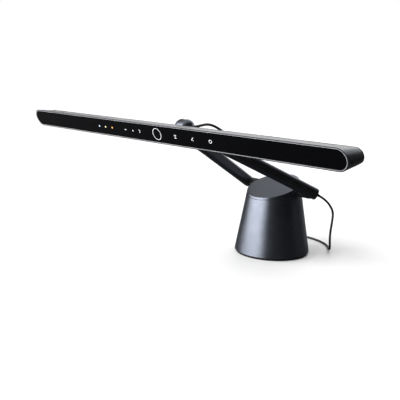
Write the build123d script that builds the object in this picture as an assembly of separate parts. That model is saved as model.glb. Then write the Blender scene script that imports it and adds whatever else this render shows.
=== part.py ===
from build123d import *
import os
from math import cos, pi, radians, sin, sqrt, tan

# Free-standing light bar: a weighted cone with a slanted lid, a wishbone of two legs that
# straddles the cone on one axle, and a long light head that tilts on the wishbone's nose.
# Millimetres. The origin is the centre of the foot on the table, +X runs along the light
# bar, +Y points away from the user and +Z is up.

os.makedirs("parts", exist_ok=True)

# ---- driving dimensions: base ----
FOOT_R = 58.5
FOOT_H = 2.5
CONE_R = 60.4                # outer radius at the lower rim
CONE_HALF_ANGLE = 9.88       # degrees from vertical
WALL = 3.0
LID_AXIS_Z = 109.9           # height of the slanted lid on the cone's axis
LID_SLOPE = 18.6             # degrees, low towards the user
LID_T = 3.0
LID_GAP = 0.6                # shadow line between lid and shell
PLATE_T = 2.4
WEIGHT_TOP = 46.0
BRACKET_T = 4.0
EAR_X = 20.0                 # inner face of each bracket ear
EAR_R = 5.9

# ---- driving dimensions: axle and wishbone ----
AXLE_Y = 11.5
AXLE_Z = 103.6
AXLE_R = 3.0
BUSH_R = 4.4
RUNNING = 0.05               # radial clearance of a running fit
NUT_R = 5.8                  # locknut, across its corners
NUT_T = 4.0
SPACER_R = 8.3
SPACER_X = 45.2              # inner end of each hub spacer, just clear of the cone
LEG_TAKE_IN = 0.29           # sideways travel of a leg for each unit of forward travel
LEG_RISE = 0.495             # rise of a leg for each unit of forward travel
LEG_X0 = 65.0                # where a leg's centre line would cross the plane Y = 0
LEG_Y0 = 15.0                # a leg's lengths are counted from this point on its centre line
LEG_Z0 = 103.6
LEG_W = 13.0
LEG_H = 18.5
LEG_CORNER = 5.2
TAIL = 2.0                   # leg length behind that point
TAIL_ROUND = 3.5
CAP_T = 2.0
CHANNEL_H = 8.0
CHANNEL_FLOOR = -1.0         # channel floor, measured outwards from the leg's centre
STRIP_IN = 4.4
STRIP_OUT = 5.8
YOKE_Y = -172.0              # the legs stop here and the nose piece carries on
NOSE_Y = -195.5              # tilt axis of the light head
NOSE_Z = 208.8
NOSE_R = 13.0
NOSE_HALF = 11.0
TENON_HALF_W = 2.6           # the nose piece plugs into each leg with a square tenon
TENON_HALF_H = 5.0
TENON_L = 10.0
HUB_SCREW_R = 2.0
HUB_SCREW_HEAD_R = 3.4
HUB_SCREW_HEAD_H = 1.5
AXLE_END = 60.5              # the axle stops inside each hub spacer
SCREW_SEAT = 65.8            # where each hub screw's head sits in its leg
NOSE_ROUND = 6.5
CAVITY_R = 13.4              # room for the head's knuckle between the two cheeks
WEB_HALF = 9.0               # web between the legs, behind the cavity
WEB_L = 8.0
WEB_LOW = -15.0              # from the tilt axis
WEB_HIGH = -4.0

# ---- driving dimensions: light head ----
BAR_L = 602.0
BAR_Y = -252.0               # centre of the front panel
BAR_Z = 205.0
FRONT_H = 27.1
FRONT_TILT = 19.8            # degrees, the panel's top leans towards the user
BACK_H = 18.9
BACK_TILT = 15.3             # degrees, the back face leans a little less than the front
BAR_DEPTH = 29.7             # front panel to the back cover's face
BACK_RISE = 2.2              # the back face sits this much higher than the front
COVER_T = 1.8
FRONT_WALL = 2.6             # housing wall at the front, where the glass sits on a ledge
BACK_WALL = 1.8
POCKET_DEPTH = 2.0
RIM_W = 1.2                  # black rim of the housing round the trim
TRIM_W = 0.7
GLASS_T = 1.5
GLASS_RECESS = 0.25
KNUCKLE_R = 12.6             # the head's knuckle, between the two cheeks of the nose
KNUCKLE_HALF = 4.4
CHEEK_IN = 4.9               # inner face of each cheek
NECK_H = 11.0
NECK_TOP = 4.7               # above the tilt axis
MOUNT_L = 36.0               # plate that holds the knuckle on the bar's back
MOUNT_H = 13.0
MOUNT_T = 2.4
PIN_R = 2.5
PIN_SEAT = 13.6              # flat on each side of the nose for the pin's head and nut
PIN_GAP = 0.15
LIGHT_L = 540.0              # length of the light opening in the bar's underside
LIGHT_W = 12.6
LED_COUNT = 44
GLAND_X = 22.5
GLAND_L = 4.0

# ---- driving dimensions: cable ----
CORD_R = 1.75
CABLE_OUT = 2.5              # cable centre in the leg, outwards from the leg's centre
ENTRY_T = 157.0              # where the cable reaches the channel's centre, along the leg
ENTRY_ABOVE = (24.0, -143.0, 206.0)
GROMMET_R = 3.2
ENTRY_HOLE_R = 3.3
RELIEF_IN = 1.8
RELIEF_OUT = 4.0
BOW_IN = 16.6                # the bow comes into the leg along a straight run this long
RELIEF_HOLE = 2.9
COIL_X = -78.0
COIL_Y = 80.0
COIL_MID_R = 20.0
COIL_W = 17.5                # five cords side by side
COIL_H = 7.0                 # two cords high
TIE_T = 0.8
TIE_W = 5.0
PLUG_Z = 4.0

# ---- derived frames ----
cone_slope = tan(radians(CONE_HALF_ANGLE))
lid_normal = Vector(0, -sin(radians(LID_SLOPE)), cos(radians(LID_SLOPE)))
LEG_UNIT = sqrt(LEG_TAKE_IN ** 2 + 1 + LEG_RISE ** 2)
leg_up = Vector(-LEG_TAKE_IN, -1, LEG_RISE) * (1 / LEG_UNIT)
leg_out = Vector(1, -LEG_TAKE_IN, 0).normalized()
leg_root = Vector(LEG_X0 + LEG_TAKE_IN * LEG_Y0, LEG_Y0, LEG_Z0)
LEG_END = (LEG_Y0 - YOKE_Y) * LEG_UNIT
front_plane = Plane(
    origin=(0, BAR_Y, BAR_Z),
    x_dir=(1, 0, 0),
    z_dir=(0, -cos(radians(FRONT_TILT)), -sin(radians(FRONT_TILT))),
)
back_plane = Plane(
    origin=(0, BAR_Y + BAR_DEPTH - COVER_T, BAR_Z + BACK_RISE),
    x_dir=(1, 0, 0),
    z_dir=(0, -cos(radians(BACK_TILT)), -sin(radians(BACK_TILT))),
)
BACK_L = BAR_L - 2.0
under_front = front_plane.from_local_coords(Vector(0, -FRONT_H / 2, 0))
under_back = back_plane.from_local_coords(Vector(0, -BACK_H / 2, 0))
under_dir = (under_back - under_front).normalized()
# The bar's underside: local x along the bar, y to the back and z up into the housing.
under_plane = Plane(
    origin=(under_front + under_back) * 0.5,
    x_dir=(1, 0, 0),
    z_dir=(0, -under_dir.Z, under_dir.Y),
)


def save(node, shape):
    """Writes one node, flattened to a plain compound when it holds several solids."""
    solids = shape.solids()
    shape = solids[0] if len(solids) == 1 else Compound(children=list(solids))
    shape.label = node
    export_step(shape, f"parts/{node}.step")


def cone_radius(z, inset=0.0):
    """Radius of the cone at a height, or of a cone a wall thickness inside it."""
    return CONE_R - (z - FOOT_H) * cone_slope - inset / cos(radians(CONE_HALF_ANGLE))


def cone_solid(z0, z1, inset=0.0):
    body = Cone(cone_radius(z0, inset), cone_radius(z1, inset), z1 - z0)
    return Pos(0, 0, (z0 + z1) / 2) * body


def lid_plane(depth):
    """The lid's face, moved down into the cone."""
    origin = Vector(0, 0, LID_AXIS_Z) - lid_normal * depth
    return Plane(origin=origin, x_dir=(1, 0, 0), z_dir=lid_normal)


def rod(radius, start, end):
    """A round rod between two points."""
    start = Vector(*start)
    axis = Vector(*end) - start
    return extrude(Plane(origin=start, z_dir=axis) * Circle(radius), axis.length)


def rod_x(radius, x0, x1, y, z):
    return rod(radius, (x0, y, z), (x1, y, z))


def leg_plane(t):
    """Cross-section of the +X leg, t forwards along the leg, x out and y up."""
    return Plane(origin=leg_root + leg_up * t, x_dir=leg_out, z_dir=leg_up)


def leg_point(out, up, t):
    return tuple(leg_plane(t).from_local_coords(Vector(out, up, 0)))


def cable_entry(radius):
    """A slanting rod through the +X leg's top wall, along the cable that comes in there."""
    return rod(radius, ENTRY_ABOVE, leg_point(CABLE_OUT, 0, ENTRY_T))


def leg_section():
    return RectangleRounded(LEG_W, LEG_H, LEG_CORNER)


def leg_box(out0, out1, up0, up1, t0, t1):
    """A block square to the +X leg."""
    sketch = Pos((out0 + out1) / 2, (up0 + up1) / 2) * Rectangle(out1 - out0, up1 - up0)
    return extrude(leg_plane(t0) * sketch, t1 - t0)


def other_side(shape):
    return mirror(shape, about=Plane.YZ)


def stadium(length, height, inset=0.0):
    return SlotOverall(length - 2 * inset, height - 2 * inset)


def front_slab(length, height, depth0, depth1, inset=0.0):
    """A stadium plate square to the front panel, between two depths behind it."""
    plane = front_plane.offset(-depth1)
    return extrude(plane * stadium(length, height, inset), depth1 - depth0)


def block(x0, x1, y0, y1, z0, z1):
    return Pos((x0 + x1) / 2, (y0 + y1) / 2, (z0 + z1) / 2) * Box(x1 - x0, y1 - y0, z1 - z0)


def under_block(length, y0, y1, z0, z1):
    """A long block square to the bar's underside, z from the underside into the housing."""
    sketch = Pos(0, (y0 + y1) / 2) * Rectangle(length, y1 - y0)
    return extrude(under_plane.offset(z0) * sketch, z1 - z0)


def back_rod(radius, x, up, depth0, depth1):
    """A rod square to the bar's back, depths measured backwards from the back cover's seat."""
    start = back_plane.from_local_coords(Vector(x, up, -depth0))
    end = back_plane.from_local_coords(Vector(x, up, -depth1))
    return rod(radius, tuple(start), tuple(end))


def screw(radius, length, head_radius, head_height):
    """A screw along +Z with its head's underside at Z = 0 and a hexagon recess."""
    shank = Pos(0, 0, -length / 2) * Cylinder(radius, length)
    head = Pos(0, 0, head_height / 2) * Cylinder(head_radius, head_height)
    socket = extrude(Plane.XY.offset(head_height * 0.4) * RegularPolygon(head_radius * 0.5, 6),
                     head_height)
    return shank + head - socket


def cord_path(points):
    """Straight runs joined by arcs as large as the runs allow. Prints each arc's radius."""
    corners = [Vector(*p) for p in points]
    radii = []
    for before, corner, after in zip(corners, corners[1:], corners[2:]):
        turn = radians((corner - before).get_angle(after - corner))
        shorter = min((corner - before).length, (after - corner).length)
        radii.append(0.45 * shorter / tan(turn / 2))
    print("  arc radii", [round(r, 1) for r in radii])
    return FilletPolyline(*corners, radius=radii)


def cord_tube(name, points, radius=CORD_R):
    print(name)
    path = cord_path(points)
    tube = sweep(Plane(origin=path @ 0, z_dir=path % 0) * Circle(radius), path=path)
    print("  length", round(path.length, 1), "volume ratio",
          round(tube.volume / (pi * radius ** 2 * path.length), 4))
    return tube


# ---- base ----
def make_base():
    top = 140.0              # well above the lid, cut back below
    outer = cone_solid(FOOT_H, top)
    inner = cone_solid(FOOT_H, top, WALL)
    axle_hole = rod_x(AXLE_R + 0.8, -70, 70, AXLE_Y, AXLE_Z)

    rim = LID_T + LID_GAP
    shell = split(outer - inner, bisect_by=lid_plane(rim), keep=Keep.BOTTOM) - axle_hole
    lower_edges = shell.edges().filter_by(GeomType.CIRCLE).group_by(Axis.Z)[0]
    shell = fillet(lower_edges.sort_by(SortBy.LENGTH)[-1], 1.2)
    save("base_shell", shell)

    lid = split(outer, bisect_by=lid_plane(0), keep=Keep.BOTTOM)
    lid = split(lid, bisect_by=lid_plane(LID_T), keep=Keep.TOP)
    lid = fillet(lid.faces().sort_by(Axis.Z)[-1].edges(), 0.9)
    spigot = cone_solid(FOOT_H, top, WALL + 0.2) - cone_solid(FOOT_H, top, WALL + 2.4)
    spigot = split(spigot, bisect_by=lid_plane(LID_T), keep=Keep.BOTTOM)
    spigot = split(spigot, bisect_by=lid_plane(LID_T + 5), keep=Keep.TOP)
    spigot -= rod_x(NUT_R + 1.4, -70, 70, AXLE_Y, AXLE_Z)
    save("base_lid", lid + spigot)

    plate_r = cone_radius(FOOT_H + PLATE_T, WALL) - 0.3
    plate = Pos(0, 0, FOOT_H + PLATE_T / 2) * Cylinder(plate_r, PLATE_T)
    screw_places = [Rot(0, 0, 45 + 90 * i) * Pos(36, 0, 0) for i in range(4)]
    bottom_screw = Pos(0, 0, FOOT_H + 1.6) * Rot(180, 0, 0) * screw(1.9, 9, 3.4, 1.4)
    screws = [place * bottom_screw for place in screw_places]
    for place in screw_places:
        plate -= place * Pos(0, 0, FOOT_H + 0.8) * Cylinder(3.6, 1.6)
        plate -= place * Pos(0, 0, FOOT_H + 2) * Cylinder(1.9, 4)
    save("bottom_plate", plate)
    save("bottom_screws", Compound(children=screws))

    weight_z = FOOT_H + PLATE_T
    weight = cone_solid(weight_z, WEIGHT_TOP, WALL + 0.4)
    for place in screw_places:
        weight -= place * Pos(0, 0, weight_z + 4) * Cylinder(1.9, 8.4)
    save("base_weight", chamfer(weight.edges().group_by(Axis.Z)[-1], 1.5))

    foot = Pos(0, 0, FOOT_H / 2) * Cylinder(FOOT_R, FOOT_H)
    save("foot_pad", chamfer(foot.edges().group_by(Axis.Z)[0], 0.6))


def make_axle_bracket():
    """A folded bracket on the weight. Its two ears carry the axle's bushes."""
    low = WEIGHT_TOP
    sole = block(-30, 30, AXLE_Y - 17, AXLE_Y + 15, low, low + BRACKET_T)
    holes = []
    bolts = []
    for x in (-12, 12):
        for y in (AXLE_Y - 11, AXLE_Y + 9):
            holes.append(Pos(x, y, low + BRACKET_T / 2) * Cylinder(2.0, BRACKET_T))
            bolts.append(Pos(x, y, low + BRACKET_T) * screw(2.0, BRACKET_T, 3.5, 3.0))
    ear_plane = Plane(origin=(0, AXLE_Y, 0), x_dir=(0, 1, 0), z_dir=(1, 0, 0))
    blade = Polyline((-14, low), (14, low), (EAR_R, AXLE_Z), (-EAR_R, AXLE_Z), close=True)
    profile = make_face(blade) + Pos(0, AXLE_Z) * Circle(EAR_R) - Pos(0, AXLE_Z) * Circle(BUSH_R)
    ear = extrude(ear_plane.offset(EAR_X) * profile, BRACKET_T)
    bracket = sole + ear + other_side(ear)
    for hole in holes:
        bracket -= hole
    save("axle_bracket", bracket)
    save("bracket_screws", Compound(children=bolts))

    bush = rod_x(BUSH_R, EAR_X, EAR_X + BRACKET_T, AXLE_Y, AXLE_Z)
    bush -= rod_x(AXLE_R + RUNNING, EAR_X, EAR_X + BRACKET_T, AXLE_Y, AXLE_Z)
    save("axle_bushes", Compound(children=[bush, other_side(bush)]))


# ---- axle and wishbone ----
def make_axle():
    y, z = AXLE_Y, AXLE_Z
    axle = rod_x(AXLE_R, -AXLE_END, AXLE_END, y, z)
    tapped = rod_x(HUB_SCREW_R, AXLE_END - 12, AXLE_END, y, z)
    save("arm_axle", axle - tapped - other_side(tapped))

    outside = EAR_X + BRACKET_T
    washer = rod_x(5.8, outside, outside + 1.2, y, z) - rod_x(AXLE_R, 0, 40, y, z)
    save("friction_washers", Compound(children=[washer, other_side(washer)]))
    springs = rod_x(5.7, outside + 1.2, outside + 3.2, y, z) - rod_x(AXLE_R, 0, 40, y, z)
    springs -= rod_x(5.8, outside + 2.1, outside + 2.3, y, z) - rod_x(4.9, 0, 40, y, z)
    save("disc_springs", springs)
    nut_plane = Plane(origin=(outside + 3.2, y, z), x_dir=(0, 1, 0), z_dir=(1, 0, 0))
    nut = extrude(nut_plane * RegularPolygon(NUT_R, 6), NUT_T) - rod_x(AXLE_R, 0, 40, y, z)
    save("axle_locknut", nut)
    collar = rod_x(5.8, -outside - 6.2, -outside - 1.2, y, z) - rod_x(AXLE_R, -40, 0, y, z)
    save("axle_collar", collar)


def make_leg(side, turn):
    """One leg with its cable channel, cover strip, tail cap, hub spacer and hub screw."""
    joint = CAP_T - TAIL
    blank = extrude(leg_plane(-TAIL) * leg_section(), LEG_END + TAIL)
    tail_face = blank.faces().sort_by(Axis(origin=(0, 0, 0), direction=leg_up))[0]
    blank = fillet(tail_face.edges(), TAIL_ROUND)
    beam = split(blank, bisect_by=leg_plane(joint), keep=Keep.TOP)
    beam -= leg_box(CHANNEL_FLOOR, LEG_W, -CHANNEL_H / 2, CHANNEL_H / 2, joint, LEG_END - 12)
    beam -= rod_x(HUB_SCREW_R, 0, SCREW_SEAT, AXLE_Y, AXLE_Z)
    beam -= rod_x(HUB_SCREW_HEAD_R + 0.2, SCREW_SEAT, SCREW_SEAT + 3, AXLE_Y, AXLE_Z)
    beam -= leg_box(-TENON_HALF_W, TENON_HALF_W, -TENON_HALF_H, TENON_HALF_H,
                    LEG_END - TENON_L, LEG_END)
    if side == "right":
        beam -= cable_entry(ENTRY_HOLE_R)
    save(f"leg_{side}_beam", turn(beam))

    strip = leg_box(STRIP_IN, STRIP_OUT, -CHANNEL_H / 2 + 0.3, CHANNEL_H / 2 - 0.3,
                    joint, LEG_END - 12.3)
    save(f"leg_{side}_cover_strip", turn(strip))

    cap = split(blank, bisect_by=leg_plane(joint), keep=Keep.BOTTOM)
    if side == "right":
        hole_end = leg_point(CABLE_OUT, 0, joint + 1)
        cap -= rod(RELIEF_HOLE, leg_point(CABLE_OUT, 0, -TAIL - 1), hole_end)
    save(f"leg_{side}_tail_cap", turn(cap))

    spacer = rod_x(SPACER_R, SPACER_X, SCREW_SEAT, AXLE_Y, AXLE_Z)
    spacer -= rod_x(AXLE_R, 0, AXLE_END, AXLE_Y, AXLE_Z)
    spacer -= rod_x(HUB_SCREW_R, 0, SCREW_SEAT, AXLE_Y, AXLE_Z)
    spacer -= leg_box(-LEG_W / 2, LEG_W, -20, 20, -20, 20)
    save(f"hub_spacer_{side}", turn(spacer.solids().sort_by(SortBy.VOLUME)[-1]))

    head_end = SCREW_SEAT + HUB_SCREW_HEAD_H
    hub_screw = rod_x(HUB_SCREW_HEAD_R, SCREW_SEAT, head_end, AXLE_Y, AXLE_Z)
    hub_screw += rod_x(HUB_SCREW_R, AXLE_END - 10, SCREW_SEAT, AXLE_Y, AXLE_Z)
    save(f"hub_screw_{side}", turn(hub_screw))


# ---- nose of the wishbone ----
def make_nose():
    """Joins the two legs. Its two cheeks hold the head's knuckle between them."""
    stub_len = (YOKE_Y - NOSE_Y) * LEG_UNIT
    stub = extrude(leg_plane(LEG_END) * leg_section(), stub_len)
    tenon = leg_box(-TENON_HALF_W, TENON_HALF_W, -TENON_HALF_H, TENON_HALF_H,
                    LEG_END - TENON_L + 0.2, LEG_END + 2)
    side = stub + tenon
    barrel = rod_x(NOSE_R, -NOSE_HALF, NOSE_HALF, NOSE_Y, NOSE_Z)
    barrel = fillet(barrel.edges().filter_by(GeomType.CIRCLE), NOSE_ROUND)
    web_y = NOSE_Y + CAVITY_R + 0.2
    web = block(-WEB_HALF, WEB_HALF, web_y, web_y + WEB_L, NOSE_Z + WEB_LOW, NOSE_Z + WEB_HIGH)
    nose = side + other_side(side) + barrel + web
    nose -= rod_x(CAVITY_R, -CHEEK_IN, CHEEK_IN, NOSE_Y, NOSE_Z)
    nose -= rod_x(PIN_R + RUNNING, -20, 20, NOSE_Y, NOSE_Z)
    spot_face = rod_x(4.4, PIN_SEAT, 22, NOSE_Y, NOSE_Z)
    save("wishbone_nose", nose - spot_face - other_side(spot_face))


# ---- light head ----
def make_housing():
    outer = loft([front_plane * stadium(BAR_L, FRONT_H), back_plane * stadium(BACK_L, BACK_H)],
                 ruled=True)
    outer = chamfer(outer.faces().sort_by(Axis.Y)[0].edges(), 0.5)
    inner = loft([front_plane * stadium(BAR_L, FRONT_H, FRONT_WALL),
                  back_plane * stadium(BACK_L, BACK_H, BACK_WALL)], ruled=True)
    pocket = front_slab(BAR_L, FRONT_H, -1, POCKET_DEPTH, RIM_W)
    opening = under_block(LIGHT_L, -LIGHT_W / 2, LIGHT_W / 2, -2, 5)
    save("head_housing", outer - inner - pocket - opening)

    trim_in = RIM_W + TRIM_W
    trim = front_slab(BAR_L, FRONT_H, 0, POCKET_DEPTH, RIM_W)
    trim -= front_slab(BAR_L, FRONT_H, -1, POCKET_DEPTH + 1, trim_in)
    save("glass_trim", trim)
    glass = front_slab(BAR_L, FRONT_H, GLASS_RECESS, GLASS_RECESS + GLASS_T, trim_in + 0.05)
    save("front_glass", glass)

    cover = extrude(back_plane * stadium(BACK_L, BACK_H), -COVER_T)
    cover = chamfer(cover.faces().filter_by(GeomType.PLANE).sort_by(Axis.Y)[-1].edges(), 0.7)
    lip = stadium(BACK_L, BACK_H, BACK_WALL + 0.5) - stadium(BACK_L, BACK_H, BACK_WALL + 1.4)
    cover += extrude(back_plane * lip, 1.6)
    for x, up in BRACKET_SCREWS:
        cover -= back_rod(1.5, x, up, -4, COVER_T + 1)
    cover -= back_rod(CORD_R + 0.4, GLAND_X, 0, -4, COVER_T + 1)
    save("head_back_cover", cover)


def make_light_engine():
    """Lens, reflector, LED board and heat sink behind the opening in the bar's underside."""
    lens = under_block(LIGHT_L - 0.4, -LIGHT_W / 2 + 0.2, LIGHT_W / 2 - 0.2, -0.3, 1.7)
    save("diffuser_lens", lens)
    length = LIGHT_L - 6
    outside = Polyline((-6.2, 2.9), (-5.2, 8.0), (5.2, 8.0), (6.2, 2.9), close=True)
    inside = Polyline((-5.5, 2.9), (-4.5, 7.3), (4.5, 7.3), (5.5, 2.9), close=True)
    end_plane = Plane(origin=under_plane.from_local_coords(Vector(-length / 2, 0, 0)),
                      x_dir=under_dir, z_dir=(1, 0, 0))
    trough = extrude(end_plane * (make_face(outside) - make_face(inside)), length)
    save("reflector", trough)
    save("led_board", under_block(length, -4.2, 4.2, 6.3, 7.3))
    pitch = (length - 12) / (LED_COUNT - 1)
    chips = []
    for i in range(LED_COUNT):
        x = -length / 2 + 6 + i * pitch
        chip = Pos(x, 0) * Rectangle(3.5, 2.8)
        chips.append(extrude(under_plane.offset(5.6) * chip, 0.7))
    save("led_chips", Compound(children=chips))
    save("led_heat_sink", under_block(length, -5.0, 5.0, 8.0, 10.4))
    save("driver_board", under_block(180, -4.5, 4.5, 12.0, 13.2))
    touch = extrude(front_plane.offset(-3.6) * RectangleRounded(340, 15, 1), 1.2)
    save("touch_board", touch)


BRACKET_SCREWS = [(x, up) for x in (-14.5, 14.5) for up in (-3.4, 3.4)]


def make_tilt_joint():
    """A plate on the bar's back with a neck and knuckle, and the pin that it turns on."""
    plate_back = COVER_T + MOUNT_T
    bracket = extrude(back_plane.offset(-plate_back) * RectangleRounded(MOUNT_L, MOUNT_H, 2.5),
                      MOUNT_T)
    neck_top = NOSE_Z + NECK_TOP
    neck = block(-KNUCKLE_HALF, KNUCKLE_HALF, BAR_Y + BAR_DEPTH - 6, NOSE_Y,
                 neck_top - NECK_H, neck_top)
    bracket += split(neck, bisect_by=back_plane.offset(-COVER_T - 0.2), keep=Keep.BOTTOM)
    bracket += rod_x(KNUCKLE_R, -KNUCKLE_HALF, KNUCKLE_HALF, NOSE_Y, NOSE_Z)
    bracket -= rod_x(PIN_R, -20, 20, NOSE_Y, NOSE_Z)
    screws = []
    for x, up in BRACKET_SCREWS:
        bracket -= back_rod(1.5, x, up, COVER_T - 1, COVER_T + 5)
        shank = back_rod(1.5, x, up, -3, plate_back)
        screws.append(shank + back_rod(2.7, x, up, plate_back, plate_back + 1.6))
    save("head_bracket", bracket)
    save("head_bracket_screws", Compound(children=screws))

    washer = rod_x(8.0, KNUCKLE_HALF, CHEEK_IN - 0.1, NOSE_Y, NOSE_Z)
    washer -= rod_x(PIN_R, 0, 9, NOSE_Y, NOSE_Z)
    save("tilt_washers", Compound(children=[washer, other_side(washer)]))
    head_x = PIN_SEAT + PIN_GAP
    pin = rod_x(PIN_R, -head_x - 1.6, head_x, NOSE_Y, NOSE_Z)
    pin += rod_x(3.6, head_x, head_x + 1.6, NOSE_Y, NOSE_Z)
    hex_plane = Plane(origin=(head_x + 0.6, NOSE_Y, NOSE_Z), x_dir=(0, 1, 0), z_dir=(1, 0, 0))
    save("tilt_pin", pin - extrude(hex_plane * RegularPolygon(1.7, 6), 3))
    nut_plane = Plane(origin=(-head_x - 1.8, NOSE_Y, NOSE_Z), x_dir=(0, 1, 0), z_dir=(1, 0, 0))
    nut = extrude(nut_plane * RegularPolygon(3.9, 6), 1.8)
    save("tilt_nut", nut - rod_x(PIN_R, -20, 0, NOSE_Y, NOSE_Z))
    gland = back_rod(3.1, GLAND_X, 0, COVER_T, COVER_T + GLAND_L)
    save("head_gland", gland - back_rod(CORD_R, GLAND_X, 0, COVER_T, COVER_T + GLAND_L - 1))


# ---- cable ----
def make_arm_cable():
    """The cable's slack bow behind the head and its run inside the +X leg."""
    start = Vector(*ENTRY_ABOVE)
    corner = Vector(*leg_point(CABLE_OUT, 0, ENTRY_T))
    along = (corner - start).normalized()
    top = leg_plane(0).to_local_coords(start).Y - LEG_H / 2
    drop = -leg_plane(0).to_local_coords(start + along).Y + leg_plane(0).to_local_coords(start).Y
    at_top = start + along * (top / drop)
    lip = at_top - along * 2.2
    inside = at_top + along * 6.0
    grommet = rod(GROMMET_R, tuple(lip), tuple(inside)) - rod(CORD_R, tuple(lip), tuple(inside))
    save("cable_grommet", grommet)

    gland_end = back_plane.from_local_coords(Vector(GLAND_X, 0, -COVER_T - GLAND_L))
    bow = [
        tuple(gland_end),
        tuple(back_plane.from_local_coords(Vector(GLAND_X, 0, -COVER_T - GLAND_L - 15))),
        (21.5, -190.3, 213.5),
        (20.8, -167.1, 216.2),
        tuple(lip - along * BOW_IN),
        tuple(lip),
    ]
    save("cable_bow", cord_tube("cable_bow", bow))
    tail = leg_point(CABLE_OUT, 0, -TAIL + RELIEF_IN)
    save("leg_cable", cord_tube("leg_cable", [tuple(lip), tuple(corner), tail]))

    relief_top = leg_plane(-TAIL + RELIEF_IN)
    relief_end = leg_plane(-TAIL - RELIEF_OUT)
    collar = extrude(relief_top * Pos(CABLE_OUT, 0) * Circle(RELIEF_HOLE), -RELIEF_IN - 0.6)
    taper = loft([leg_plane(-TAIL - 0.6) * Pos(CABLE_OUT, 0) * Circle(RELIEF_HOLE),
                  relief_end * Pos(CABLE_OUT, 0) * Circle(CORD_R + 0.35)])
    save("strain_relief", collar + taper)


CORD_ROUTE = [
    leg_point(CABLE_OUT, 0, -TAIL - RELIEF_OUT),
    leg_point(CABLE_OUT, 0, -TAIL - RELIEF_OUT - 15),
    (79.3, 52.1, 73.8),
    (78.3, 52.3, 57.3),
    (77.5, 49.2, 33.5),
    (74.0, 57.0, 10.0),
    (60.0, 75.0, CORD_R),
    (42.0, 95.0, CORD_R),
    (14.0, 108.0, CORD_R),
    (-18.0, 111.0, CORD_R),
    (-46.0, 108.5, CORD_R),
    (-70.0, 107.0, CORD_R),
]
PLUG_LEAD = [
    (-84.0, 105.2, 5.2),
    (-96.0, 107.0, 2.9),
    (-107.0, 108.0, 2.9),
    (-117.0, 107.4, PLUG_Z),
]


def make_cord():
    save("power_cord", cord_tube("power_cord", CORD_ROUTE))
    save("plug_lead", cord_tube("plug_lead", PLUG_LEAD))

    ring = Cylinder(COIL_MID_R + COIL_W / 2, COIL_H) - Cylinder(COIL_MID_R - COIL_W / 2, COIL_H)
    ring = Pos(COIL_X, COIL_Y, COIL_H / 2) * fillet(ring.edges().filter_by(GeomType.CIRCLE), 1.4)
    tie_at = Pos(COIL_X - COIL_MID_R, COIL_Y, COIL_H / 2 + TIE_T / 2)
    tie = tie_at * (Box(COIL_W + 2 * TIE_T, TIE_W, COIL_H + TIE_T)
                    - Box(COIL_W - 0.4, TIE_W, COIL_H - TIE_T))
    save("cord_tie", tie)
    save("cord_coil", ring - tie)

    lead_end = Vector(*PLUG_LEAD[-1])
    lead_dir = Vector(-1, -0.07, 0).normalized()
    plug_plane = Plane(origin=lead_end, x_dir=(-lead_dir.Y, lead_dir.X, 0), z_dir=lead_dir)
    neck = loft([plug_plane * Circle(CORD_R + 0.5), plug_plane.offset(8) * Circle(3.2)])
    grip = extrude(plug_plane.offset(8) * RectangleRounded(13.5, 8.0, 2.0), 22)
    grip = fillet(grip.faces().sort_by(Axis(origin=(0, 0, 0), direction=lead_dir))[0].edges(), 1.5)
    save("plug_grip", neck + grip)
    shell = extrude(plug_plane.offset(30) * Rectangle(12.0, 4.5), 12)
    shell -= extrude(plug_plane.offset(31) * Pos(0, 0.5) * Rectangle(11.3, 2.4), 12)
    save("plug_shell", shell)


def keep(shape):
    """A leg as drawn, on the +X side."""
    return shape


make_base()
make_axle_bracket()
make_axle()
make_leg("right", keep)
make_leg("left", other_side)
make_nose()
make_housing()
make_light_engine()
make_tilt_joint()
make_arm_cable()
make_cord()
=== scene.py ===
from math import cos, pi, radians, sin
import bpy
import bmesh
from mathutils import Matrix, Vector


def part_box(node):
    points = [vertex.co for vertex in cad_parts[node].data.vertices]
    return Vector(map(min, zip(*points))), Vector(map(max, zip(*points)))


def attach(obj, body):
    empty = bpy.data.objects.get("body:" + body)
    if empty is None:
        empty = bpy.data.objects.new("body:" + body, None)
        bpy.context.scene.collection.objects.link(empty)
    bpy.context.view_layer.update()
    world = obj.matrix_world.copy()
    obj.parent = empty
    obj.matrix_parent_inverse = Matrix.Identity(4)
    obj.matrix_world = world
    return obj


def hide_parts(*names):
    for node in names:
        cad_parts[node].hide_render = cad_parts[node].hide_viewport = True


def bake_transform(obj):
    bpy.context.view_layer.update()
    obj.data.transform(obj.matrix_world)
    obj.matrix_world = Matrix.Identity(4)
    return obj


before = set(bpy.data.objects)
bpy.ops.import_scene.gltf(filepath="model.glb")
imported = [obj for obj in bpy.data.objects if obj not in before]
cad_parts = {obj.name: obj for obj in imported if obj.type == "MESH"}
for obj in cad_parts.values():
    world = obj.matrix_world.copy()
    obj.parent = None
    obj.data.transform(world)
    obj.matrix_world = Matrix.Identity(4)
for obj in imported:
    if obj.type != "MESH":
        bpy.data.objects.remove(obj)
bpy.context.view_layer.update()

# Looks of the free-standing light bar. Everything is in metres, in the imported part's own frame:
# the origin is the centre of the foot, +X runs along the bar and +Y points away from the user.

MM = 0.001

# ---- camera ----
CAMERA_PLACE = Vector((0.644329, -0.773201, 0.290972))
CAMERA_YAW = radians(46.584)
CAMERA_PITCH = radians(11.830)      # downwards
CAMERA_ROLL = radians(1.329)
CAMERA_LENS = 57.03                 # on a 36 mm sensor

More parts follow.
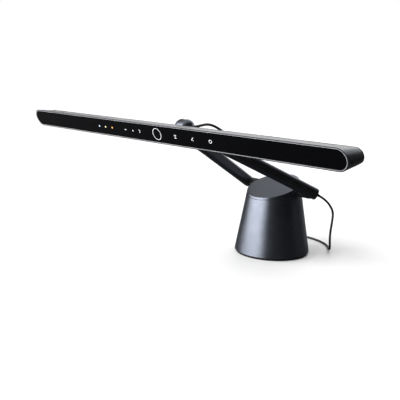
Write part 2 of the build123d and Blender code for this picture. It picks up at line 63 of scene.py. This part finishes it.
# ---- sizes of the pieces, mostly those of the part's source ----
CORD_R = 1.75 * MM
FRONT_TILT = radians(19.8)
RING_X = 9.3 * MM                   # the touch ring sits a little off the bar's middle
GLASS_T = 1.5 * MM
RELIEF_R = 2.9 * MM
RELIEF_END_R = 2.1 * MM
RELIEF_L = 5.8 * MM
RELIEF_COLLAR = 2.4 * MM            # plain part before the ribs
RELIEF_RIBS = 2
RIB_PITCH = 1.45 * MM
COIL_TURNS_LOW = 5
COIL_TURNS_HIGH = 4
POINTS_PER_TURN = 18
TIE_T = 0.8 * MM
TIE_W = 5.0 * MM
TIE_CORNER = 2.2 * MM
FLAP_STEPS = 6
PLUG_GROOVES = 4

# ---- stage ----
FLOOR_R = 9.0
FLOOR_SIDES = 96
AMBIENT = 0.006                     # light from where no lamp is

# The lead's route from the strain relief to the coil, and from the coil to the plug.
LEAD_ROUTE = [
    (0.0725, 0.0169, 0.1023),
    (0.0770, 0.0325, 0.0946),
    (0.0793, 0.0521, 0.0738),
    (0.0783, 0.0523, 0.0573),
    (0.0775, 0.0492, 0.0335),
    (0.0740, 0.0570, 0.0100),
    (0.0600, 0.0750, CORD_R),
    (0.0420, 0.0950, CORD_R),
    (0.0140, 0.1080, CORD_R),
    (-0.0180, 0.1110, CORD_R),
    (-0.0460, 0.1085, CORD_R),
    (-0.0700, 0.1070, CORD_R),
]
PLUG_ROUTE = [
    (-0.0840, 0.1052, 0.0052),
    (-0.0960, 0.1070, 0.0029),
    (-0.1070, 0.1080, 0.0029),
    (-0.1170, 0.1074, 0.0040),
    (-0.1250, 0.1068, 0.0040),
]
LEAD_EXIT = Vector((0.0733, 0.0195, 0.1010))
PLUG_START = Vector((-0.1170, 0.1074, 0.0040))
PLUG_AHEAD = Vector((-1, -0.07, 0)).normalized()

# The slack bow of cable from the bar's gland to the grommet in the leg's top.
BOW_ROUTE = [
    (0.0225, -0.2214, 0.2079),
    (0.0225, -0.2040, 0.2127),
    (0.0215, -0.1903, 0.2135),
    (0.0208, -0.1671, 0.2162),
    (0.0250, -0.1403, 0.2015),
    (0.0283, -0.1319, 0.1876),
    (0.0295, -0.1290, 0.1829),
]


# ---- mesh helpers ----
def skin(rings, closed=False):
    """Quads over rings of points. An open skin gets a cap at each end."""
    count = len(rings[0])
    points = [point for ring in rings for point in ring]
    faces = []
    last = len(rings) if closed else len(rings) - 1
    for i in range(last):
        here = i * count
        there = ((i + 1) % len(rings)) * count
        for j in range(count):
            k = (j + 1) % count
            faces.append((here + j, here + k, there + k, there + j))
    if not closed:
        faces.append(tuple(reversed(range(count))))
        faces.append(tuple(range(last * count, (last + 1) * count)))
    return points, faces


def piece(name, skins, material, smooth=True):
    """One mesh object from several skins."""
    points = []
    faces = []
    for skin_points, skin_faces in skins:
        start = len(points)
        points.extend(skin_points)
        faces.extend([tuple(start + i for i in face) for face in skin_faces])
    mesh = bpy.data.meshes.new(name)
    mesh.from_pydata([tuple(p) for p in points], [], faces)
    shaped = bmesh.new()
    shaped.from_mesh(mesh)
    bmesh.ops.recalc_face_normals(shaped, faces=shaped.faces)
    shaped.to_mesh(mesh)
    shaped.free()
    mesh.shade_smooth() if smooth else mesh.shade_flat()
    mesh.materials.append(material)
    obj = bpy.data.objects.new(name, mesh)
    bpy.context.scene.collection.objects.link(obj)
    return obj


def nurbs_line(name, route, steps=5):
    """Points along the smooth curve that a route's points control."""
    curve = bpy.data.curves.new(name, "CURVE")
    curve.dimensions = "3D"
    curve.resolution_u = steps
    spline = curve.splines.new("NURBS")
    spline.points.add(len(route) - 1)
    for point, place in zip(spline.points, route):
        point.co = (*place, 1)
    spline.order_u = 3
    spline.use_endpoint_u = True
    holder = bpy.data.objects.new(name, curve)
    mesh = bpy.data.meshes.new_from_object(holder)
    line = [v.co.copy() for v in mesh.vertices]
    bpy.data.meshes.remove(mesh)
    bpy.data.curves.remove(curve)
    return line


def frames_along(line):
    """A point and two directions square to the line at each of its points, without twist."""
    frames = []
    side = None
    for i, point in enumerate(line):
        ahead = (line[min(i + 1, len(line) - 1)] - line[max(i - 1, 0)]).normalized()
        side = ahead.orthogonal() if side is None else side - ahead * side.dot(ahead)
        side = side.normalized()
        frames.append((point, side, ahead.cross(side)))
    return frames


def circle(centre, side, up, radius, count=14):
    angles = [2 * pi * i / count for i in range(count)]
    return [centre + side * (radius * cos(a)) + up * (radius * sin(a)) for a in angles]


def tube(line, radius, count=14):
    return skin([circle(*place, radius, count) for place in frames_along(line)])


def turned(start, ahead, profile, count=32):
    """A skin turned about an axis, from pairs of distance along it and radius."""
    side = ahead.orthogonal().normalized()
    up = ahead.cross(side)
    return skin([circle(start + ahead * along, side, up, r, count) for along, r in profile])


def soft_box_ring(centre, side, up, half_w, half_h, corner, steps=5):
    """A rectangle with rounded corners, square to the line through its centre."""
    ring = []
    for sx, sy, start in ((1, 1, 0), (-1, 1, pi / 2), (-1, -1, pi), (1, -1, 3 * pi / 2)):
        for i in range(steps + 1):
            a = start + pi / 2 * i / steps
            across = sx * (half_w - corner) + corner * cos(a)
            upward = sy * (half_h - corner) + corner * sin(a)
            ring.append(centre + side * across + up * upward)
    return ring


# ---- materials ----
class Finish:
    """A Principled material whose colour, roughness and relief vary over the surface."""

    def __init__(self, name, **sockets):
        self.material = bpy.data.materials.new(name)
        self.material.use_nodes = True
        self.tree = self.material.node_tree
        self.shader = self.tree.nodes["Principled BSDF"]
        for socket, value in sockets.items():
            self.shader.inputs[socket.replace("_", " ")].default_value = value
        self.place = self.tree.nodes.new("ShaderNodeTexCoord").outputs["Object"]
        self.normal = None

    def make(self, kind, inputs, **settings):
        node = self.tree.nodes.new(kind)
        for key, value in settings.items():
            setattr(node, key, value)
        for key, value in inputs.items():
            if isinstance(value, bpy.types.NodeSocket):
                self.tree.links.new(value, node.inputs[key])
            else:
                node.inputs[key].default_value = value
        return node

    def noise(self, size, detail=3.0, stretch=(1, 1, 1)):
        """Patches about size metres across, longer along a stretched axis."""
        scale = [1 / (size * s) for s in stretch]
        place = self.make("ShaderNodeMapping", {"Vector": self.place, "Scale": scale})
        node = self.make("ShaderNodeTexNoise", {"Vector": place.outputs[0], "Scale": 1.0,
                                                "Detail": detail})
        return node.outputs["Fac"]

    def cells(self, size, feature="F1"):
        """Distance to the nearest of many points, about size metres apart."""
        node = self.make("ShaderNodeTexVoronoi", {"Vector": self.place, "Scale": 1 / size},
                         feature=feature)
        return node.outputs["Distance"]

    def edges(self, radius):
        """1 along the edges and 0 on the open faces."""
        rounded = self.make("ShaderNodeBevel", {"Radius": radius}, samples=4).outputs[0]
        flat = self.tree.nodes.new("ShaderNodeNewGeometry").outputs["Normal"]
        dot = self.make("ShaderNodeVectorMath", {0: rounded, 1: flat}, operation="DOT_PRODUCT")
        return self.between(dot.outputs["Value"], 1.0, 0.0, 0.80, 0.995)

    def between(self, fac, low_value, high_value, low=0.3, high=0.7):
        node = self.make("ShaderNodeMapRange", {"Value": fac, "From Min": low, "From Max": high,
                                                "To Min": low_value, "To Max": high_value})
        return node.outputs["Result"]

    def tones(self, fac, dark, light, low=0.3, high=0.7):
        node = self.make("ShaderNodeValToRGB", {"Fac": fac})
        for element, at, tone in zip(node.color_ramp.elements, (low, high), (dark, light)):
            element.position = at
            element.color = (*tone, 1)
        return node.outputs["Color"]

    def blend(self, fac, first, second):
        """A mix of two colours, each a socket or three numbers."""
        node = self.make("ShaderNodeMix", {"Factor": fac}, data_type="RGBA")
        for socket, value in ((node.inputs[6], first), (node.inputs[7], second)):
            if isinstance(value, bpy.types.NodeSocket):
                self.tree.links.new(value, socket)
            else:
                socket.default_value = (*value, 1)
        return node.outputs[2]

    def scaled(self, fac, times):
        node = self.make("ShaderNodeMath", {0: fac, 1: times}, operation="MULTIPLY")
        return node.outputs[0]

    def give(self, socket, source):
        self.tree.links.new(source, self.shader.inputs[socket])

    def relief(self, height, depth):
        """Adds a relief of that depth in metres."""
        inputs = {"Height": height, "Distance": depth, "Strength": 1.0}
        if self.normal is not None:
            inputs["Normal"] = self.normal
        self.normal = self.make("ShaderNodeBump", inputs).outputs["Normal"]
        self.give("Normal", self.normal)


def blasted_metal(name, dark, light, worn_and_highlit, rough, metallic=0.9):
    """Bead-blasted and coated metal: a fine grain, faint clouds, and edges painted lighter, partly as
    wear and partly as a painted highlight.
    """
    f = Finish(name, Metallic=metallic)
    cloud = f.noise(0.028)
    # The lighter colour along the edges is partly wear and partly a painted highlight.
    edge_wear_and_highlight = f.scaled(f.edges(0.5 * MM), 0.55)
    f.give("Base Color", f.blend(edge_wear_and_highlight, f.tones(cloud, dark, light), worn_and_highlit))
    smudge = f.noise(0.011, 5.0)
    f.give("Roughness", f.between(smudge, rough, rough + 0.07))
    f.relief(f.noise(0.45 * MM, 2.0), 0.010 * MM)
    f.relief(f.noise(4.0 * MM), 0.012 * MM)
    return f.material


def gloss_panel():
    """Deep black glass with faint wiping marks and a few specks of dust."""
    f = Finish("gloss_panel", IOR=1.45, Specular_IOR_Level=0.10)
    dust = f.noise(0.6 * MM, 1.0)
    f.give("Base Color", f.tones(dust, (0.0012, 0.0013, 0.0018), (0.006, 0.006, 0.007), 0.6, 0.85))
    f.give("Roughness", f.between(f.noise(0.02, 5.0, (3, 1, 1)), 0.05, 0.13))
    f.relief(f.noise(0.03), 0.006 * MM)
    return f.material


def bright_trim():
    f = Finish("bright_trim", Metallic=0.8)
    streak = f.noise(0.25 * MM, 3.0, (60, 1, 1))
    f.give("Base Color", f.tones(streak, (0.70, 0.71, 0.74), (0.86, 0.87, 0.90)))
    f.give("Roughness", f.between(streak, 0.38, 0.50))
    f.relief(streak, 0.004 * MM)
    return f.material


def moulded(name, dark, light, rough, grain=0.5 * MM, depth=0.02 * MM):
    """Moulded plastic: a fine spark-eroded grain, slightly uneven gloss, and edges painted lighter,
    partly as wear and partly as a painted highlight.
    """
    f = Finish(name, IOR=1.46, Specular_IOR_Level=0.4)
    body = f.tones(f.noise(0.012), dark, light)
    # Lighter colour along the edges: partly wear, partly a painted highlight.
    rubbed_and_highlit_tone = tuple(min(1.0, c * 1.6 + 0.01) for c in light)
    f.give("Base Color", f.blend(f.scaled(f.edges(0.3 * MM), 0.35), body, rubbed_and_highlit_tone))
    f.give("Roughness", f.between(f.noise(0.006, 5.0), rough, rough + 0.12))
    f.relief(f.cells(grain), depth)
    f.relief(f.noise(grain * 0.6, 2.0), depth * 0.6)
    return f.material


def cable_jacket():
    """Soft black jacket with fine dust and drawing lines."""
    f = Finish("cable_jacket", IOR=1.5, Specular_IOR_Level=0.35)
    f.give("Base Color", f.tones(f.noise(0.004, 4.0), (0.010, 0.010, 0.011), (0.024, 0.024, 0.026)))
    f.give("Roughness", f.between(f.noise(0.009, 4.0), 0.42, 0.60))
    f.relief(f.noise(0.35 * MM, 2.0), 0.02 * MM)
    return f.material


def foot_rubber():
    f = Finish("foot_rubber", Specular_IOR_Level=0.3)
    f.give("Base Color", f.tones(f.noise(0.005, 5.0), (0.010, 0.010, 0.010), (0.026, 0.025, 0.024)))
    f.give("Roughness", f.between(f.noise(0.01), 0.68, 0.85))
    f.relief(f.cells(0.9 * MM), 0.05 * MM)
    return f.material


def brushed_metal(name, dark, light, rough, along=(1, 12, 1)):
    """Plain metal with fine turning or drawing marks."""
    f = Finish(name, Metallic=1.0)
    streak = f.noise(0.12 * MM, 3.0, along)
    f.give("Base Color", f.tones(f.noise(0.006, 4.0), dark, light))
    f.give("Roughness", f.between(streak, rough, rough + 0.15))
    f.relief(streak, 0.006 * MM)
    return f.material


def frosted_lens():
    """Frosted light panel with a faint texture of micro prisms."""
    f = Finish("frosted_lens", IOR=1.5, Subsurface_Weight=0.25, Subsurface_Scale=0.002)
    f.give("Base Color", f.tones(f.noise(0.02), (0.80, 0.81, 0.80), (0.88, 0.89, 0.87)))
    f.give("Roughness", f.between(f.noise(0.003, 4.0), 0.42, 0.56))
    f.relief(f.cells(0.8 * MM), 0.03 * MM)
    return f.material


def phosphor():
    f = Finish("led_phosphor", IOR=1.5)
    f.give("Base Color", f.tones(f.noise(0.4 * MM), (0.80, 0.62, 0.16), (0.92, 0.80, 0.36)))
    f.give("Roughness", f.between(f.noise(0.8 * MM), 0.22, 0.36))
    f.relief(f.noise(0.5 * MM), 0.02 * MM)
    return f.material


def solder_mask():
    """Green board with copper tracks showing faintly through the mask."""
    f = Finish("solder_mask", IOR=1.5)
    track = f.cells(2.4 * MM, "DISTANCE_TO_EDGE")
    f.give("Base Color", f.tones(track, (0.07, 0.24, 0.09), (0.018, 0.10, 0.045), 0.04, 0.10))
    f.give("Roughness", f.between(f.noise(0.004), 0.28, 0.42))
    f.relief(track, 0.03 * MM)
    return f.material


def cast_iron():
    f = Finish("cast_iron", Metallic=0.6)
    f.give("Base Color", f.tones(f.noise(0.004, 5.0), (0.05, 0.05, 0.052), (0.13, 0.128, 0.125)))
    f.give("Roughness", f.between(f.noise(0.002, 5.0), 0.55, 0.80))
    f.relief(f.noise(1.2 * MM, 6.0), 0.15 * MM)
    return f.material


def touch_print(name, tone, glow):
    """A mark behind the glass, lit softly from behind."""
    f = Finish(name, Emission_Strength=glow)
    ink = f.tones(f.noise(0.3 * MM, 2.0), tuple(c * 0.85 for c in tone), tone)
    f.give("Base Color", ink)
    f.give("Emission Color", ink)
    f.give("Roughness", f.between(f.noise(0.5 * MM), 0.30, 0.45))
    return f.material


def strap_weave():
    """Black hook-and-loop strap."""
    f = Finish("strap_weave", Sheen_Weight=0.3, Sheen_Roughness=0.5)
    loops = f.cells(0.35 * MM)
    f.give("Base Color", f.tones(loops, (0.008, 0.008, 0.009), (0.035, 0.035, 0.037), 0.1, 0.6))
    f.give("Roughness", f.between(loops, 0.75, 0.92))
    f.relief(loops, 0.08 * MM)
    return f.material


def make_finishes():
    return {
        # The third colour of each metal is painted along its edges: partly wear, partly a painted
        # highlight.
        "satin_metal": blasted_metal("satin_gunmetal", (0.108, 0.119, 0.143),
                                     (0.124, 0.136, 0.162), (0.22, 0.235, 0.265), 0.27),
        "head_metal": blasted_metal("satin_black", (0.052, 0.056, 0.065),
                                    (0.064, 0.069, 0.080), (0.14, 0.15, 0.17), 0.24),
        "gloss_black": gloss_panel(),
        "trim_metal": bright_trim(),
        "black_plastic": moulded("black_plastic", (0.012, 0.012, 0.013), (0.022, 0.022, 0.024), 0.34),
        "white_plastic": moulded("white_plastic", (0.74, 0.74, 0.72), (0.82, 0.82, 0.80), 0.42),
        "diffuser": frosted_lens(),
        "led": phosphor(),
        "circuit_board": solder_mask(),
        "cable": cable_jacket(),
        "rubber": foot_rubber(),
        "steel": brushed_metal("turned_steel", (0.46, 0.46, 0.47), (0.60, 0.60, 0.61), 0.24),
        "plug_metal": brushed_metal("nickel", (0.58, 0.58, 0.59), (0.72, 0.72, 0.73), 0.16),
        "aluminium": brushed_metal("aluminium", (0.60, 0.60, 0.62), (0.72, 0.72, 0.74), 0.30,
                                   (12, 1, 1)),
        "cast_iron": cast_iron(),
        "brass": brushed_metal("bearing_bronze", (0.50, 0.37, 0.17), (0.64, 0.50, 0.26), 0.30),
    }


def dress_nodes(finishes):
    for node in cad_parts.values():
        for place in node.material_slots:
            place.material = finishes[place.material.name.split(".")[0]]


# ---- cords ----
def coil_points():
    """Two layers of turns: the lower one winds inwards and the upper one back outwards."""
    low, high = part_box("cord_coil")
    middle = (low + high) / 2
    outer = (high.x - low.x) / 2 - CORD_R
    pitch = 2 * CORD_R
    inner = outer - (COIL_TURNS_LOW - 1) * pitch
    jog = 1 / 6                       # share of a turn over which the cord steps across
    points = []
    turns = COIL_TURNS_LOW + COIL_TURNS_HIGH
    for i in range(turns * POINTS_PER_TURN + 1):
        turn = min(i // POINTS_PER_TURN, turns - 1)
        step = min(1.0, (i / POINTS_PER_TURN - turn) / jog)
        if turn < COIL_TURNS_LOW:
            before = outer - max(turn - 1, 0) * pitch
            after = outer - turn * pitch
            height = CORD_R
        else:
            layer = turn - COIL_TURNS_LOW
            before = inner if layer == 0 else inner + (layer - 0.5) * pitch
            after = inner + (layer + 0.5) * pitch
            height = CORD_R + pitch * (step if layer == 0 else 1.0)
        radius = before + (after - before) * step
        angle = pi / 2 + 2 * pi * i / POINTS_PER_TURN
        points.append((middle.x + radius * cos(angle), middle.y + radius * sin(angle), height))
    return points


def make_lead(finishes):
    """The power lead: out of the strain relief, down to the table, the coil and the plug."""
    line = nurbs_line("lead_line", LEAD_ROUTE + coil_points() + PLUG_ROUTE)
    lead = piece("lead", [tube(line, CORD_R)], finishes["cable"])
    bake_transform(lead)
    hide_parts("power_cord", "cord_coil", "plug_lead")

    grip = make_plug(finishes)
    tie = make_tie()
    relief = make_relief(finishes)


def make_bow(finishes):
    """The slack cable between the head and the leg."""
    line = nurbs_line("bow_line", BOW_ROUTE, 10)
    bow = piece("cable_bow_skin", [tube(line, CORD_R)], finishes["cable"])
    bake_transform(bow)
    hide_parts("cable_bow")


def make_relief(finishes):
    """The ribbed, tapered sleeve where the lead leaves the right leg."""
    ahead = (Vector(LEAD_ROUTE[1]) - Vector(LEAD_ROUTE[0])).normalized()
    start = LEAD_EXIT - ahead * RELIEF_L
    profile = [(0, RELIEF_R), (RELIEF_COLLAR, RELIEF_R)]
    for i in range(RELIEF_RIBS):
        along = RELIEF_COLLAR + 0.2 * MM + RIB_PITCH * i
        radius = RELIEF_R + (RELIEF_END_R - RELIEF_R) * (i + 1) / RELIEF_RIBS
        groove = radius - 0.25 * MM
        profile += [(along, groove), (along + 0.35 * MM, groove),
                    (along + 0.55 * MM, radius + 0.1 * MM), (along + 1.15 * MM, radius + 0.05 * MM)]
    profile += [(RELIEF_L, RELIEF_END_R - 0.2 * MM)]
    relief = piece("ribbed_relief", [turned(start, ahead, profile)], finishes["black_plastic"])
    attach(relief, "arm")
    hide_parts("strain_relief")
    return relief


def make_plug(finishes):
    """The plug's moulded grip, with finger grooves and a tapered neck."""
    side = PLUG_AHEAD.cross(Vector((0, 0, 1)))
    up = Vector((0, 0, 1))
    # Each station: distance along, half width, half height and corner radius, in millimetres.
    body = (6.75, 4.0, 2.0)
    groove = (6.35, 3.85, 1.8)
    stations = [
        (0.0, 2.25, 2.25, 2.2), (2.0, 2.5, 2.5, 2.4), (2.4, 2.2, 2.2, 2.1), (3.0, 2.2, 2.2, 2.1),
        (3.4, 2.8, 2.7, 2.6), (5.0, 2.9, 2.8, 2.6), (5.4, 2.5, 2.4, 2.3), (6.0, 2.5, 2.4, 2.3),
        (6.4, 3.2, 3.0, 2.8), (7.6, 3.6, 3.2, 2.6), (8.2, 5.2, 3.6, 2.2), (9.2, 6.2, 3.9, 2.0),
        (10.5, *body),
    ]
    for i in range(PLUG_GROOVES):
        along = 12.0 + 2.6 * i
        stations += [(along, *body), (along + 0.4, *groove),
                     (along + 1.2, *groove), (along + 1.6, *body)]
    stations += [(28.6, *body), (29.5, 6.4, 3.7, 1.7), (30.0, 5.9, 3.2, 1.2)]
    rings = [soft_box_ring(PLUG_START + PLUG_AHEAD * along * MM, side, up,
                           half_w * MM, half_h * MM, corner * MM)
             for along, half_w, half_h, corner in stations]
    grip = piece("plug_moulding", [skin(rings)], finishes["black_plastic"])
    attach(grip, "base")
    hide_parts("plug_grip")
    return grip


def make_tie():
    """A hook-and-loop strap round the coil, with its loose end folded back on top."""
    low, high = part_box("cord_tie")
    middle = (low + high) / 2
    half_w = (high.x - low.x) / 2 - TIE_T / 2
    half_h = (high.z - low.z) / 2 - TIE_T / 2
    path = soft_box_ring(middle, Vector((1, 0, 0)), Vector((0, 0, 1)), half_w, half_h, TIE_CORNER)
    along = Vector((0, TIE_W / 2, 0))
    loop = []
    for point in path:
        outwards = Vector(((point.x - middle.x) / half_w, 0, (point.z - middle.z) / half_h))
        outwards = outwards.normalized() * TIE_T / 2
        loop.append([point - along - outwards, point + along - outwards,
                     point + along + outwards, point - along + outwards])
    flap = []
    for i in range(FLAP_STEPS + 1):
        share = i / FLAP_STEPS
        lift = TIE_T * (1.15 + 0.6 * share * share)
        point = Vector((middle.x + half_w * (0.75 - 1.15 * share), middle.y,
                        middle.z + half_h + lift))
        thick = Vector((0, 0, TIE_T / 2 * 0.8))
        flap.append([point - along - thick, point + along - thick,
                     point + along + thick, point - along + thick])
    tie = piece("strap", [skin(loop, closed=True), skin(flap)], strap_weave(), False)
    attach(tie, "base")
    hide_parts("cord_tie")
    return tie


# ---- touch panel ----
class Panel:
    """Draws thin marks on the glass, placed along the bar from its middle and up from it."""

    LIFT = 0.02 * MM
    INK = 0.05 * MM

    def __init__(self):
        low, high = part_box("front_glass")
        self.out = Vector((0, -cos(FRONT_TILT), -sin(FRONT_TILT)))
        self.up = Vector((0, -sin(FRONT_TILT), cos(FRONT_TILT)))
        self.middle = (low + high) / 2 + self.out * (GLASS_T / 2 + self.LIFT)
        self.middle.x += RING_X

    def stroke(self, points, width, closed=False):
        """A thin ribbon of that width along points in millimetres."""
        rings = []
        last = len(points) - 1
        for i, (x, y) in enumerate(points):
            before = points[i - 1] if i > 0 or closed else points[i]
            after = points[(i + 1) % len(points)] if i < last or closed else points[i]
            dx, dy = after[0] - before[0], after[1] - before[1]
            long = (dx * dx + dy * dy) ** 0.5
            nx, ny = -dy / long * width / 2, dx / long * width / 2
            ring = []
            for sign, depth in ((-1, 0), (1, 0), (1, self.INK), (-1, self.INK)):
                place = self.middle + Vector(((x + sign * nx) * MM, 0, 0))
                ring.append(place + self.up * (y + sign * ny) * MM + self.out * depth)
            rings.append(ring)
        return skin(rings, closed)

    def ring(self, x, y, radius, width, count=64):
        points = [(x + radius * cos(2 * pi * i / count), y + radius * sin(2 * pi * i / count))
                  for i in range(count)]
        return self.stroke(points, width, closed=True)

    def dot(self, x, y, radius):
        return self.ring(x, y, radius / 2, radius * 0.98, 24)

    def put(self, name, skins, material):
        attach(piece(name, skins, material, False), "head")


def make_touch_marks():
    panel = Panel()
    white = touch_print("white_print", (0.86, 0.88, 0.91), 0.7)
    panel.put("touch_ring", [panel.ring(0, 0, 7.82, 0.6)], white)
    panel.put("touch_symbols", [
        panel.stroke([(-37.2, -1.6), (-35.2, 0.2), (-35.2, 2.0), (-37.4, 2.0)], 0.55),
        panel.dot(-51, 0, 1.0),
        panel.stroke([(-69.2, 0), (-65.8, 0)], 0.8),
        panel.stroke([(34.0, -2.2), (38.2, -2.2)], 0.6),
        panel.stroke([(36.1, -2.2), (36.1, 0.2), (33.9, 1.9), (38.3, 1.9), (36.1, 0.2)], 0.55),
        panel.stroke([(65.6, -1.8), (69.2, 1.8)], 0.7),
        panel.stroke([(67.6, -2.0), (69.6, -2.0)], 0.5),
        panel.ring(99.3, 0, 2.1, 0.6, 32),
    ], white)
    for name, x, tone in (("dot_amber", -99, (0.95, 0.45, 0.12)),
                          ("dot_warm", -115, (0.95, 0.85, 0.50)),
                          ("dot_cool", -130, (0.60, 0.75, 0.98))):
        panel.put(name, [panel.dot(x, 0, 1.3)], touch_print(name, tone, 0.75))


# ---- stage, camera and light ----
def make_camera():
    ahead = Vector((-sin(CAMERA_YAW), cos(CAMERA_YAW), 0))
    right = Vector((cos(CAMERA_YAW), sin(CAMERA_YAW), 0))
    forward = ahead * cos(CAMERA_PITCH) - Vector((0, 0, sin(CAMERA_PITCH)))
    up = right.cross(forward)
    rolled_right = right * cos(CAMERA_ROLL) + up * sin(CAMERA_ROLL)
    rolled_up = up * cos(CAMERA_ROLL) - right * sin(CAMERA_ROLL)
    data = bpy.data.cameras.new("camera")
    data.sensor_width = 36
    data.lens = CAMERA_LENS
    data.clip_start = 0.05
    camera = bpy.data.objects.new("camera", data)
    turn = Matrix((rolled_right, rolled_up, -forward)).transposed().to_4x4()
    camera.matrix_world = Matrix.Translation(CAMERA_PLACE) @ turn
    bpy.context.scene.collection.objects.link(camera)
    bpy.context.scene.camera = camera


def make_floor():
    """A wide flat floor, plain and pale to the camera.

    Every other ray sees it nearly black, so the object reflects a dark surface.
    """
    f = Finish("pale_floor", Specular_IOR_Level=0.25)
    seen = f.tree.nodes.new("ShaderNodeLightPath").outputs["Is Camera Ray"]
    pale = f.tones(f.noise(0.25, 4.0), (0.84, 0.84, 0.845), (0.86, 0.86, 0.86))
    f.give("Base Color", f.blend(seen, (0.02, 0.02, 0.02), pale))
    f.give("Roughness", f.between(f.noise(0.05), 0.45, 0.55))
    f.relief(f.noise(2 * MM), 0.01 * MM)
    mesh = bpy.data.meshes.new("floor")
    angles = [2 * pi * i / FLOOR_SIDES for i in range(FLOOR_SIDES)]
    rim = [(FLOOR_R * cos(a), FLOOR_R * sin(a), 0) for a in angles]
    mesh.from_pydata(rim, [], [tuple(range(FLOOR_SIDES))])
    mesh.materials.append(f.material)
    floor = bpy.data.objects.new("floor", mesh)
    bpy.context.scene.collection.objects.link(floor)


def make_world():
    """A soft studio: a strong soft light on the left, others overhead and behind, a weak one right.

    The camera itself sees plain white.
    """
    world = bpy.data.worlds.new("studio")
    bpy.context.scene.world = world
    world.use_nodes = True
    tree = world.node_tree
    direction = tree.nodes.new("ShaderNodeTexCoord").outputs["Generated"]

    def value(operation, first, second):
        node = tree.nodes.new("ShaderNodeMath")
        node.operation = operation
        for socket, source in zip(node.inputs, (first, second)):
            if isinstance(source, bpy.types.NodeSocket):
                tree.links.new(source, socket)
            else:
                socket.default_value = source
        return node.outputs[0]

    def lobe(towards, none_at, full_at, strength):
        """Light from round a direction, from nothing at one cosine to full at another."""
        dot = tree.nodes.new("ShaderNodeVectorMath")
        dot.operation = "DOT_PRODUCT"
        tree.links.new(direction, dot.inputs[0])
        dot.inputs[1].default_value = Vector(towards).normalized()
        ease = tree.nodes.new("ShaderNodeMapRange")
        ease.interpolation_type = "SMOOTHSTEP"
        tree.links.new(dot.outputs["Value"], ease.inputs["Value"])
        ease.inputs["From Min"].default_value = none_at
        ease.inputs["From Max"].default_value = full_at
        ease.inputs["To Max"].default_value = strength
        return ease.outputs["Result"]

    left = lobe((-0.52, -0.854, 0.20), 0.62, 0.96, 7.5)
    back = lobe((-0.50, 0.86, 0.10), 0.74, 0.97, 1.15)
    right = lobe((0.55, 0.76, 0.35), 0.78, 0.98, 0.15)
    high = lobe((-0.10, 0.83, 0.55), 0.86, 0.98, 1.3)
    over = lobe((0, 0, 1), 0.50, 0.92, 1.0)
    sides = value("ADD", value("ADD", left, back), value("ADD", right, high))
    total = value("ADD", sides, value("ADD", over, AMBIENT))
    seen = tree.nodes.new("ShaderNodeLightPath").outputs["Is Camera Ray"]
    hidden = value("SUBTRACT", 1.0, seen)
    strength = value("ADD", value("MULTIPLY", total, hidden), seen)
    background = tree.nodes["Background"]
    background.inputs["Color"].default_value = (1.0, 1.0, 1.0, 1)
    tree.links.new(strength, background.inputs["Strength"])


make_camera()
finishes = make_finishes()
dress_nodes(finishes)
make_lead(finishes)
make_bow(finishes)
make_touch_marks()
make_floor()
make_world()
bpy.context.scene.view_settings.view_transform = "Standard"
